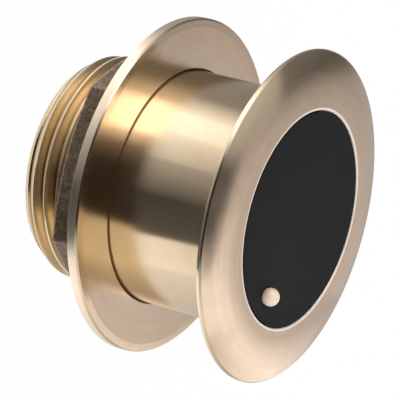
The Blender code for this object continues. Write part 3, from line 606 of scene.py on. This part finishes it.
def turned_layer(tree, size, change, detail=2.0):
    """Marks that a lathe leaves round the upright axis: narrow across, and changing slowly round it."""
    place = node(tree, "ShaderNodeTexCoord").outputs["Object"]
    parts = node(tree, "ShaderNodeSeparateXYZ")
    tree.links.new(place, parts.inputs["Vector"])
    level = node(tree, "ShaderNodeCombineXYZ")
    tree.links.new(parts.outputs["X"], level.inputs["X"])
    tree.links.new(parts.outputs["Y"], level.inputs["Y"])
    reach = node(tree, "ShaderNodeVectorMath", operation="LENGTH")
    tree.links.new(level.outputs["Vector"], reach.inputs[0])
    heading = node(tree, "ShaderNodeVectorMath", operation="NORMALIZE")
    tree.links.new(level.outputs["Vector"], heading.inputs[0])
    around_axis = node(tree, "ShaderNodeSeparateXYZ")
    tree.links.new(heading.outputs["Vector"], around_axis.inputs["Vector"])
    across = node(tree, "ShaderNodeCombineXYZ")
    per_size = 1.0 / (size * MM)
    tree.links.new(calculated(tree, "MULTIPLY", reach.outputs["Value"], per_size), across.inputs["X"])
    tree.links.new(calculated(tree, "MULTIPLY", parts.outputs["Z"], per_size), across.inputs["Y"])
    tree.links.new(calculated(tree, "MULTIPLY", around_axis.outputs["X"], change), across.inputs["Z"])
    made = node(tree, "ShaderNodeTexNoise", {"Scale": 1.0, "Detail": detail}, noise_dimensions="4D")
    tree.links.new(across.outputs["Vector"], made.inputs["Vector"])
    tree.links.new(calculated(tree, "MULTIPLY", around_axis.outputs["Y"], change), made.inputs["W"])
    return made.outputs["Fac"]


def start_material(name, **sockets):
    """A material with a Principled shader, with the values of its sockets given by their names."""
    material, tree = new_material(name)
    out = node(tree, "ShaderNodeOutputMaterial")
    values = {key.replace("_", " "): value for key, value in sockets.items()}
    shader = node(tree, "ShaderNodeBsdfPrincipled", values)
    tree.links.new(shader.outputs["BSDF"], out.inputs["Surface"])
    return material, tree, shader


def turned_material(name, colour, roughness, anisotropy, wear_and_highlight_colour=(0.93, 0.8, 0.66)):
    """Bronze off the lathe: fine rings, faint bands, outer edges lighter with wear and a painted highlight,
    and inner corners darkened with painted shade.
    """
    material, tree, shader = start_material(
        name, Metallic=1.0, Anisotropic=anisotropy, Anisotropic_Rotation=0.25
    )
    tangent = node(tree, "ShaderNodeTangent", direction_type="RADIAL", axis="Z")
    tree.links.new(tangent.outputs["Tangent"], shader.inputs["Tangent"])
    rings = turned_layer(tree, 0.22, 2.5)
    bands = turned_layer(tree, 1.3, 1.6)
    clouds = noise_layer(tree, 6.0)
    dull = tuple(part * 0.95 for part in colour)
    bright = tuple(min(part * 1.04, 1.0) for part in colour)
    tone = mixed(tree, ranged(tree, bands, 0.3, 0.7, 0.0, 1.0), dull, bright)
    tarnish = tuple(part * share for part, share in zip(colour, (0.93, 0.88, 0.8)))
    tone = mixed(tree, ranged(tree, clouds, 0.45, 0.75, 0.0, 0.55), tone, tarnish)
    # Outer edges lighter: partly wear, partly a painted highlight.
    edge_wear_and_highlight = calculated(tree, "MULTIPLY", attribute(tree, "wear_and_highlight"), ranged(tree, clouds, 0.3, 0.6, 0.35, 0.8))
    tone = mixed(tree, edge_wear_and_highlight, tone, wear_and_highlight_colour)
    # Inner corners and creases darkened: painted shade.
    painted_crease_shade = calculated(tree, "MULTIPLY", attribute(tree, "crease_shade"), ranged(tree, bands, 0.3, 0.7, 0.6, 0.85))
    tone = mixed(tree, painted_crease_shade, tone, CREASE_SHADE_BROWN)
    tree.links.new(tone, shader.inputs["Base Color"])
    gloss = ranged(tree, rings, 0.25, 0.75, roughness - 0.02, roughness + 0.02)
    gloss = calculated(tree, "ADD", gloss, ranged(tree, clouds, 0.35, 0.7, -0.01, 0.015))
    tree.links.new(gloss, shader.inputs["Roughness"])
    bumps(tree, shader, [(rings, 0.0009), (bands, 0.0015)])
    return material


def cast_material():
    """Bronze as it left the sand: dark, speckled and pitted, with a few spots rubbed bright."""
    material, tree, shader = start_material("cast_bronze")
    sand = noise_layer(tree, 0.42, 3.0)
    lumps = noise_layer(tree, 1.5, 3.0, 4.0)
    grains = grain_layer(tree, 0.55)
    dark = (0.085, 0.058, 0.042)
    light = (0.25, 0.168, 0.112)
    tone = mixed(tree, ranged(tree, sand, 0.3, 0.72, 0.0, 1.0), dark, light)
    tone = mixed(tree, ranged(tree, lumps, 0.35, 0.7, 0.0, 0.7), tone, (0.135, 0.09, 0.062))
    spots = ranged(tree, grains.outputs["Distance"], 0.05, 0.2, 0.55, 0.0)
    tone = mixed(tree, calculated(tree, "MULTIPLY", spots, sand), tone, (0.6, 0.47, 0.35))
    # Outer edges lighter: partly wear, partly a painted highlight.
    edge_wear_and_highlight = calculated(tree, "MULTIPLY", attribute(tree, "wear_and_highlight"), ranged(tree, sand, 0.3, 0.6, 0.2, 0.7))
    tone = mixed(tree, edge_wear_and_highlight, tone, (0.62, 0.5, 0.38))
    # Inner corners darkened: painted shade.
    painted_crease_shade = calculated(tree, "MULTIPLY", attribute(tree, "crease_shade"), ranged(tree, lumps, 0.3, 0.7, 0.3, 0.8))
    tone = mixed(tree, painted_crease_shade, tone, (0.05, 0.034, 0.022))
    tree.links.new(tone, shader.inputs["Base Color"])
    tree.links.new(ranged(tree, lumps, 0.3, 0.7, 0.75, 0.95), shader.inputs["Metallic"])
    tree.links.new(ranged(tree, sand, 0.25, 0.75, 0.72, 0.48), shader.inputs["Roughness"])
    bumps(tree, shader, [(lumps, 0.12), (sand, 0.09), (grains.outputs["Distance"], 0.02)])
    return material


def surface_material(
    name, look, other, metal=0.0, gloss=(0.4, 0.6), size=0.8, depth=0.004, grains=0.0, **sockets
):
    """A plain surface of two close tones in lumps and fine grain, with uneven gloss and relief.

    The looks are screen colours, gloss is the lowest and highest roughness, size and depth of the
    grain are in millimetres, and grains is how far separate grains show.
    """
    material, tree, shader = start_material(name, Metallic=metal, **sockets)
    lumps = noise_layer(tree, size * 5.0, 2.0, 1.0)
    fine = noise_layer(tree, size, 3.0, 2.0)
    tone = mixed(tree, ranged(tree, lumps, 0.3, 0.7, 0.0, 1.0), linear(look), linear(other))
    shade = tuple(part * 0.72 for part in linear(other))
    tone = mixed(tree, ranged(tree, fine, 0.5, 0.78, 0.0, 0.6), tone, shade)
    relief = [(fine, depth)]
    if grains:
        cells = grain_layer(tree, size * 2.0)
        grey = node(tree, "ShaderNodeSeparateXYZ")
        tree.links.new(cells.outputs["Color"], grey.inputs["Vector"])
        tone = mixed(tree, ranged(tree, grey.outputs["X"], 0.0, 1.0, 0.0, grains), tone, shade)
        relief.append((cells.outputs["Distance"], depth))
    # Outer edges lighter: partly wear, partly a painted highlight.
    edge_wear_and_highlight = calculated(tree, "MULTIPLY", attribute(tree, "wear_and_highlight"), ranged(tree, fine, 0.3, 0.7, 0.1, 0.5))
    tone = mixed(tree, edge_wear_and_highlight, tone, tuple(min(part * 1.25 + 0.02, 1.0) for part in linear(look)))
    tree.links.new(tone, shader.inputs["Base Color"])
    tree.links.new(ranged(tree, fine, 0.3, 0.7, *gloss), shader.inputs["Roughness"])
    bumps(tree, shader, relief)
    return material


def woven_material():
    """Circuit board: green lacquer over glass cloth, whose threads show through."""
    material, tree, shader = start_material("board_green", Coat_Weight=0.4)
    place = node(tree, "ShaderNodeTexCoord").outputs["Object"]
    threads = []
    pattern = {"Scale": 380.0, "Distortion": 0.6, "Detail": 1.0}
    for direction in ("X", "Y"):
        wave = node(tree, "ShaderNodeTexWave", pattern, bands_direction=direction)
        tree.links.new(place, wave.inputs["Vector"])
        threads.append(wave.outputs["Fac"])
    cloth = calculated(tree, "MULTIPLY", *threads)
    clouds = noise_layer(tree, 3.0)
    gap, thread, cloud = linear((0.17, 0.4, 0.25)), linear((0.24, 0.5, 0.33)), linear((0.15, 0.34, 0.22))
    tone = mixed(tree, ranged(tree, cloth, 0.0, 1.0, 0.0, 1.0), gap, thread)
    tone = mixed(tree, ranged(tree, clouds, 0.4, 0.75, 0.0, 0.4), tone, cloud)
    tree.links.new(tone, shader.inputs["Base Color"])
    tree.links.new(ranged(tree, clouds, 0.3, 0.7, 0.3, 0.42), shader.inputs["Roughness"])
    bumps(tree, shader, [(cloth, 0.01), (clouds, 0.01)])
    return material


def wound_material():
    """Enamelled copper wire, seen as fine turns one on the other."""
    material, tree, shader = start_material("enamelled_copper", Metallic=1.0, Coat_Weight=0.5)
    place = node(tree, "ShaderNodeTexCoord").outputs["Object"]
    pattern = {"Scale": 900.0, "Distortion": 0.3, "Detail": 1.0}
    wire = node(tree, "ShaderNodeTexWave", pattern, bands_direction="Z")
    tree.links.new(place, wire.inputs["Vector"])
    clouds = noise_layer(tree, 1.4)
    turns = ranged(tree, wire.outputs["Fac"], 0.0, 1.0, 0.0, 1.0)
    tone = mixed(tree, turns, (0.3, 0.11, 0.045), (0.72, 0.3, 0.13))
    tone = mixed(tree, ranged(tree, clouds, 0.4, 0.7, 0.0, 0.5), tone, (0.5, 0.19, 0.07))
    tree.links.new(tone, shader.inputs["Base Color"])
    tree.links.new(ranged(tree, clouds, 0.3, 0.7, 0.22, 0.36), shader.inputs["Roughness"])
    bumps(tree, shader, [(wire.outputs["Fac"], 0.03)])
    return material


def inner_materials():
    """Materials of the solids that keep their CAD mesh, by the record's slot."""
    return {
        "thermistor_glass": surface_material(
            "thermistor_glass",
            (0.35, 0.44, 0.38),
            (0.42, 0.5, 0.42),
            gloss=(0.04, 0.1),
            size=0.4,
            depth=0.001,
        ),
        "tinned_copper": surface_material(
            "tinned_copper",
            (0.88, 0.87, 0.85),
            (0.78, 0.77, 0.74),
            metal=1.0,
            gloss=(0.2, 0.36),
            size=0.3,
        ),
        "filled_epoxy": surface_material(
            "filled_epoxy",
            (0.6, 0.61, 0.51),
            (0.54, 0.55, 0.46),
            gloss=(0.45, 0.65),
            size=0.35,
            grains=0.5,
        ),
        "piezo_ceramic": surface_material(
            "piezo_ceramic",
            (0.78, 0.76, 0.7),
            (0.72, 0.7, 0.63),
            gloss=(0.3, 0.5),
            size=0.25,
            grains=0.2,
        ),
        "cork_rubber": surface_material(
            "cork_rubber",
            (0.53, 0.42, 0.31),
            (0.42, 0.33, 0.24),
            gloss=(0.75, 0.95),
            size=0.7,
            depth=0.05,
            grains=0.8,
        ),
        "white_polymer": surface_material(
            "white_polymer",
            (0.87, 0.87, 0.85),
            (0.83, 0.83, 0.8),
            gloss=(0.38, 0.52),
            size=0.5,
            depth=0.003,
        ),
        "board_green": woven_material(),
        "plated_steel": surface_material(
            "plated_steel",
            (0.78, 0.78, 0.79),
            (0.68, 0.68, 0.7),
            metal=1.0,
            gloss=(0.2, 0.38),
            size=0.5,
        ),
        "ferrite": surface_material(
            "ferrite",
            (0.25, 0.25, 0.26),
            (0.2, 0.2, 0.21),
            gloss=(0.45, 0.7),
            size=0.2,
            depth=0.01,
            grains=0.6,
        ),
        "enamelled_copper": wound_material(),
        "capacitor_red": surface_material(
            "capacitor_red",
            (0.65, 0.25, 0.19),
            (0.58, 0.2, 0.15),
            gloss=(0.12, 0.25),
            size=0.9,
            Coat_Weight=0.5,
        ),
        "resistor_tan": surface_material(
            "resistor_tan", (0.78, 0.67, 0.54), (0.7, 0.6, 0.47), gloss=(0.35, 0.5), size=0.4
        ),
        "black_polymer": surface_material(
            "black_polymer",
            (0.15, 0.15, 0.15),
            (0.19, 0.19, 0.19),
            gloss=(0.36, 0.55),
            size=0.35,
            depth=0.012,
        ),
        "black_rubber": surface_material(
            "black_rubber",
            (0.13, 0.13, 0.13),
            (0.17, 0.17, 0.165),
            gloss=(0.6, 0.8),
            size=0.25,
            depth=0.008,
        ),
    }


def make_camera():
    """The camera, at the photograph's viewing angle."""
    camera = bpy.data.cameras.new("camera")
    camera.lens = CAMERA_LENS
    camera.sensor_width = CAMERA_SENSOR
    camera.clip_start = 0.01
    camera.clip_end = 20.0
    made = bpy.data.objects.new("camera", camera)
    bpy.context.scene.collection.objects.link(made)
    level = math.cos(CAMERA_ELEVATION)
    east = level * math.cos(CAMERA_AZIMUTH)
    north = level * math.sin(CAMERA_AZIMUTH)
    away = Vector((east, north, math.sin(CAMERA_ELEVATION)))
    upright = away.to_track_quat("Z", "Y").to_matrix().to_4x4()
    roll = Matrix.Rotation(CAMERA_ROLL, 4, "Z")
    place = Matrix.Translation(Vector(CAMERA_AIM) + away * CAMERA_DISTANCE)
    made.matrix_world = place @ upright @ roll
    bpy.context.scene.camera = made


def stage_mesh(name, points, glow, faces, tint):
    """A piece of the studio that only reflections see. Each point has its own brightness."""
    mesh = bpy.data.meshes.new(name)
    mesh.from_pydata(points, [], faces)
    brightness = mesh.attributes.new("glow", "FLOAT", "POINT")
    brightness.data.foreach_set("value", glow)
    made = bpy.data.objects.new(name, mesh)
    bpy.context.scene.collection.objects.link(made)
    made.visible_camera = False
    made.visible_diffuse = False
    made.visible_shadow = False
    material, tree = new_material(name)
    out = node(tree, "ShaderNodeOutputMaterial")
    light = node(tree, "ShaderNodeEmission", {"Color": (*tint, 1.0)})
    tree.links.new(attribute(tree, "glow"), light.inputs["Strength"])
    tree.links.new(light.outputs["Emission"], out.inputs["Surface"])
    mesh.materials.append(material)


def make_wall(name, azimuths, elevations, strengths, tint=NEUTRAL):
    """A softbox or a flag on a sphere round the object: its azimuths and elevations in degrees."""
    steps = 8
    points = []
    glow = []
    for i in range(steps + 1):
        share = i / steps
        azimuth = math.radians(azimuths[0] + (azimuths[1] - azimuths[0]) * share)
        for j in range(steps + 1):
            elevation = math.radians(elevations[0] + (elevations[1] - elevations[0]) * j / steps)
            level = STUDIO_RADIUS * math.cos(elevation)
            height = STUDIO_RADIUS * math.sin(elevation)
            points.append((level * math.cos(azimuth), level * math.sin(azimuth), height))
            glow.append(strengths[0] + (strengths[1] - strengths[0]) * share)
    row = steps + 1
    faces = []
    for i in range(steps):
        for j in range(steps):
            first = i * row + j
            faces.append((first, first + row, first + row + 1, first + 1))
    stage_mesh(name, points, glow, faces, tint)


def make_cloth(name, azimuths, radii, strengths, tint=NEUTRAL):
    """A cloth or a card that lies on the floor: its azimuths in degrees and its radii in millimetres."""
    steps = 12
    points = []
    glow = []
    for i in range(steps + 1):
        share = i / steps
        azimuth = math.radians(azimuths[0] + (azimuths[1] - azimuths[0]) * share)
        for radius in radii:
            reach = radius * MM
            points.append((reach * math.cos(azimuth), reach * math.sin(azimuth), CLOTH_HEIGHT))
            glow.append(strengths[0] + (strengths[1] - strengths[0]) * share)
    faces = [(2 * i, 2 * i + 1, 2 * i + 3, 2 * i + 2) for i in range(steps)]
    stage_mesh(name, points, glow, faces, tint)


def white_for_camera(tree, soft_share):
    """White that camera, glossy and transmission rays see, with a share of a white matt surface."""
    path = node(tree, "ShaderNodeLightPath")
    seen = calculated(tree, "MAXIMUM", path.outputs["Is Camera Ray"], path.outputs["Is Glossy Ray"])
    seen = calculated(tree, "MAXIMUM", seen, path.outputs["Is Transmission Ray"])
    share = calculated(tree, "MULTIPLY", seen, 1.0 - soft_share)
    diffuse = node(tree, "ShaderNodeBsdfDiffuse", {"Color": (0.95, 0.95, 0.95, 1.0)})
    glow = node(tree, "ShaderNodeEmission", {"Color": (1.0, 1.0, 1.0, 1.0), "Strength": 1.0})
    mix = node(tree, "ShaderNodeMixShader")
    tree.links.new(share, mix.inputs["Fac"])
    tree.links.new(diffuse.outputs["BSDF"], mix.inputs[1])
    tree.links.new(glow.outputs["Emission"], mix.inputs[2])
    return mix.outputs["Shader"]


def make_floor():
    """A floor that is seen from above and lets views from below through."""
    shape = bmesh.new()
    bmesh.ops.create_grid(shape, x_segments=1, y_segments=1, size=FLOOR_HALF_WIDTH)
    mesh = bpy.data.meshes.new("floor")
    shape.to_mesh(mesh)
    shape.free()
    floor = bpy.data.objects.new("floor", mesh)
    bpy.context.scene.collection.objects.link(floor)
    floor.location.z = -FLOOR_GAP
    material, tree = new_material("studio_floor")
    out = node(tree, "ShaderNodeOutputMaterial")
    below = node(tree, "ShaderNodeNewGeometry").outputs["Backfacing"]
    one_sided = node(tree, "ShaderNodeMixShader")
    tree.links.new(below, one_sided.inputs["Fac"])
    tree.links.new(white_for_camera(tree, FLOOR_SHADOW_SHARE), one_sided.inputs[1])
    clear = node(tree, "ShaderNodeBsdfTransparent")
    tree.links.new(clear.outputs["BSDF"], one_sided.inputs[2])
    tree.links.new(one_sided.outputs["Shader"], out.inputs["Surface"])
    mesh.materials.append(material)


def make_world():
    """A plain white world, at the strength where a colour renders as it is written."""
    world = bpy.data.worlds.new("studio")
    bpy.context.scene.world = world
    world.use_nodes = True
    background = world.node_tree.nodes["Background"]
    background.inputs["Color"].default_value = (1.0, 1.0, 1.0, 1.0)
    background.inputs["Strength"].default_value = 1.0


def make_studio():
    """Softboxes, flags and cloths round the object, which only reflections see."""
    make_wall("key_softbox", (122, 160), (0, 45), (2.9, 3.1))
    make_wall("key_softbox_edge", (160, 176), (0, 45), (1.5, 0.2))
    make_wall("camera_flag_edge", (176, 192), (0, 45), (0.2, 0.03))
    make_wall("camera_flag", (192, 250), (0, 45), (0.01, 0.01))
    make_wall("left_wall", (250, 300), (0, 45), (0.9, 0.96), LEFT_TINT)
    make_wall("left_rear_wall", (300, 340), (0, 45), (0.78, 0.44), LEFT_TINT)
    make_wall("rear_softbox", (340, 364), (0, 46), (0.6, 1.3), REAR_TINT)
    make_wall("rear_wall", (364, 377), (0, 46), (1.25, 0.43), REAR_TINT)
    make_wall("rear_wall_right", (377, 398), (0, 46), (0.65, 0.4), REAR_TINT)
    make_wall("narrow_flag_edge", (38, 43), (0, 46), (0.42, 0.12))
    make_wall("narrow_flag", (43, 50), (0, 46), (0.09, 0.08))
    make_wall("back_flag_edge", (50, 56), (0, 46), (0.1, 0.25))
    make_wall("back_flag", (56, 92), (0, 46), (0.15, 0.22))
    make_wall("back_wall", (92, 122), (0, 46), (0.32, 1.15))
    make_wall("rear_wall_top", (340, 377), (46, 62), (1.3, 1.0), REAR_TINT)
    make_wall("rear_wall_top_right", (377, 400), (46, 60), (0.85, 0.36), REAR_TINT)
    make_wall("rear_ceiling_flag", (345, 402), (60, 72), (0.01, 0.01))
    make_wall("back_wall_top", (40, 150), (46, 72), (0.38, 1.25))
    make_wall("key_softbox_top", (150, 170), (45, 72), (1.0, 0.1))
    make_wall("camera_flag_top", (170, 260), (45, 72), (0.04, 0.02))
    make_wall("left_wall_top", (260, 345), (45, 72), (0.3, 1.0))
    make_wall("ceiling_flag", (0, 360), (72, 89.9), (0.01, 0.01))
    make_cloth("back_cloth", (60, 118), (35, 150), (0.33, 0.36))
    make_cloth("key_cloth_fade", (118, 140), (35, 150), (0.38, 1.6))
    make_cloth("key_cloth", (140, 160), (35, 150), (1.9, 1.75))
    make_cloth("key_cloth_edge", (160, 184), (35, 150), (1.4, 0.8))
    make_cloth("camera_cloth_edge", (184, 212), (35, 150), (0.56, 0.09))
    make_cloth("camera_cloth", (212, 246), (35, 150), (0.05, 0.12))
    make_cloth("left_cloth", (246, 275), (35, 150), (1.2, 1.35))
    make_cloth("left_rear_cloth", (275, 345), (35, 150), (1.15, 0.6))
    make_cloth("rear_cloth", (345, 420), (35, 150), (0.57, 0.34))
    make_cloth("key_floor", (118, 166), (150, 1150), (0.6, 1.1))
    make_cloth("key_floor_edge", (166, 250), (150, 1150), (0.75, 0.15))
    make_cloth("left_floor", (250, 315), (150, 1150), (1.0, 1.0))
    make_cloth("rear_floor", (315, 420), (150, 1150), (0.74, 0.32))
    make_cloth("back_floor", (60, 118), (150, 1150), (0.1, 0.5))


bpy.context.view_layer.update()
bpy.context.scene.view_settings.view_transform = "Standard"
make_camera()
make_world()
make_floor()
make_studio()
turned_bronze = turned_material("turned_bronze", (0.83, 0.655, 0.455), 0.2, 0.78)
thread_bronze = turned_material("thread_bronze", (0.74, 0.565, 0.355), 0.24, 0.45, (0.74, 0.58, 0.39))
rim_bronze = turned_material("rim_bronze", (0.82, 0.67, 0.51), 0.36, 0.3)
# Dark brown for the gap at the nut's counterbore: painted shade.
groove_painted_shade = turned_material("groove_painted_shade", (0.3, 0.2, 0.12), 0.4, 0.2, (0.34, 0.24, 0.15))
# Pale, nearly unmetallic bronze for the bezel's lip: a painted highlight.
bezel_painted_highlight = surface_material(
    "bezel_painted_highlight",
    (0.98, 0.92, 0.88),
    (0.95, 0.88, 0.82),
    metal=0.2,
    gloss=(0.3, 0.45),
    size=0.3,
    depth=0.002,
)
# Pale, nearly unmetallic bronze for the stud: its bright reflection painted into its colour.
stud_painted_reflection = surface_material(
    "stud_painted_reflection",
    (0.99, 0.895, 0.785),
    (0.98, 0.88, 0.77),
    metal=0.05,
    gloss=(0.4, 0.5),
    size=0.3,
    depth=0.001,
    Sheen_Weight=0.9,
    Sheen_Roughness=0.25,
    Sheen_Tint=(1.0, 0.98, 0.95, 1.0),
)
black_urethane = surface_material(
    "black_urethane",
    (0.08, 0.08, 0.08),
    (0.1, 0.1, 0.1),
    gloss=(0.5, 0.62),
    size=0.35,
    depth=0.004,
    Specular_IOR_Level=0.11,
)
housing = make_housing(turned_bronze, bezel_painted_highlight, thread_bronze)
hull_nut = make_hull_nut(turned_bronze, cast_material(), rim_bronze, groove_painted_shade)
window = make_window(black_urethane)
stud = make_stud(stud_painted_reflection)
for piece, cad_node, body, slot in (
    (housing, "housing", "transducer", "turned_bronze"),
    (hull_nut, "hull_nut", "hull_nut", "turned_bronze"),
    (window, "acoustic_window", "transducer", "black_urethane"),
    (stud, "temperature_stud", "transducer", "turned_bronze"),
):
    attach(piece, body)
    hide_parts(cad_node)
finishes = inner_materials()
for row in frame["record"]["subparts"]:
    if row["material_slot"] in finishes:
        materials = frame["nodes"][row["node"]].data.materials
        materials.clear()
        materials.append(finishes[row["material_slot"]])
